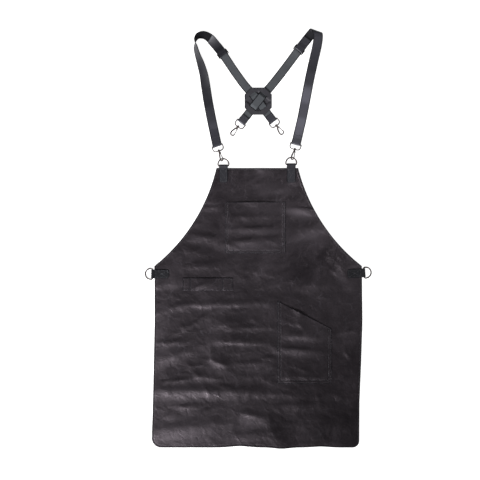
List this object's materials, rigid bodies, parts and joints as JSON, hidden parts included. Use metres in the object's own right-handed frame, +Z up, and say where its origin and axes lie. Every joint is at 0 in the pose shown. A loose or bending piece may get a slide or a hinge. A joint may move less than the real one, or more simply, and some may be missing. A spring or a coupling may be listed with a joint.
{
  "type": "work apron",
  "caption": "Leather work apron with bib, pockets, tool loop and a cross-back harness of straps that clips on with swivel snap hooks.",
  "frame": {"origin": "on the surface the apron lies on, under the middle of its box", "axes": "+Z up from the surface and out of the apron's front, +Y from hem to straps, +X to the viewer's right"},
  "size_m": [0.6546, 1.2116, 0.0273],
  "materials": {
    "panel_leather": "black pull-up leather, waxed, lightly scuffed",
    "strap_leather": "black smooth strap leather with painted edges",
    "suede_leather": "blue-grey flesh side up, black grain side under",
    "nickel": "warm polished nickel"
  },
  "bodies": {
    "apron": {"apron_panel": "panel_leather", "bib_pocket": "panel_leather", "slant_pocket": "panel_leather", "tool_loop": "panel_leather", "cross_patch": "panel_leather", "top_tab_left": "strap_leather", "top_tab_right": "strap_leather", "side_tab_left": "strap_leather", "side_tab_right": "strap_leather", "shoulder_strap_left": "strap_leather", "shoulder_strap_right": "strap_leather", "back_strap_left": "suede_leather", "back_strap_right": "suede_leather", "top_ring_left": "nickel", "top_ring_right": "nickel", "slider_left": "nickel", "slider_right": "nickel", "swivel_loop_back_left": "nickel", "swivel_loop_back_right": "nickel", "swivel_loop_front_left": "nickel", "swivel_loop_front_right": "nickel", "snap_hook_front_left": "nickel", "snap_hook_front_right": "nickel"},
    "ring_left": {"side_ring_left": "nickel"},
    "ring_right": {"side_ring_right": "nickel"},
    "hook_left": {"snap_hook_back_left": "nickel"},
    "hook_right": {"snap_hook_back_right": "nickel"},
    "gate_back_left": {"hook_gate_back_left": "nickel"},
    "gate_back_right": {"hook_gate_back_right": "nickel"},
    "gate_front_left": {"hook_gate_front_left": "nickel"},
    "gate_front_right": {"hook_gate_front_right": "nickel"}
  },
  "joints": [
    {"name": "ring_left_swing", "type": "hinge", "parent": "apron", "child": "ring_left", "pos_m": [-0.30507, -0.10138, 0.0039], "axis": [0, 1, 0], "range_deg": [0, 150]},
    {"name": "ring_right_swing", "type": "hinge", "parent": "apron", "child": "ring_right", "pos_m": [0.30512, -0.09796, 0.0039], "axis": [0.0698, -0.9976, 0], "range_deg": [0, 150]},
    {"name": "hook_left_swivel", "type": "hinge", "parent": "apron", "child": "hook_left", "pos_m": [-0.04789, 0.33628, 0.0039], "axis": [-0.6206, -0.7831, -0.0401], "continuous": true},
    {"name": "hook_right_swivel", "type": "hinge", "parent": "apron", "child": "hook_right", "pos_m": [0.04247, 0.33977, 0.0039], "axis": [0.5985, -0.8001, -0.0401], "continuous": true},
    {"name": "gate_back_left_press", "type": "hinge", "parent": "hook_left", "child": "gate_back_left", "pos_m": [-0.06081, 0.31515, 0.00291], "axis": [0.0249, 0.0315, -0.9992], "range_deg": [0, 22], "stiffness_Nm_per_rad": 0.005},
    {"name": "gate_back_right_press", "type": "hinge", "parent": "hook_right", "child": "gate_back_right", "pos_m": [0.05959, 0.32189, 0.00291], "axis": [-0.024, 0.0321, -0.9992], "range_deg": [0, 22], "stiffness_Nm_per_rad": 0.005},
    {"name": "gate_front_left_press", "type": "hinge", "parent": "apron", "child": "gate_front_left", "pos_m": [-0.10902, 0.24672, 0.00802], "axis": [0.7499, 0.2081, -0.628], "range_deg": [0, 22], "stiffness_Nm_per_rad": 0.005},
    {"name": "gate_front_right_press", "type": "hinge", "parent": "apron", "child": "gate_front_right", "pos_m": [0.10503, 0.24988, 0.00802], "axis": [0.7442, -0.2274, -0.628], "range_deg": [0, 22], "stiffness_Nm_per_rad": 0.005}
  ]
}
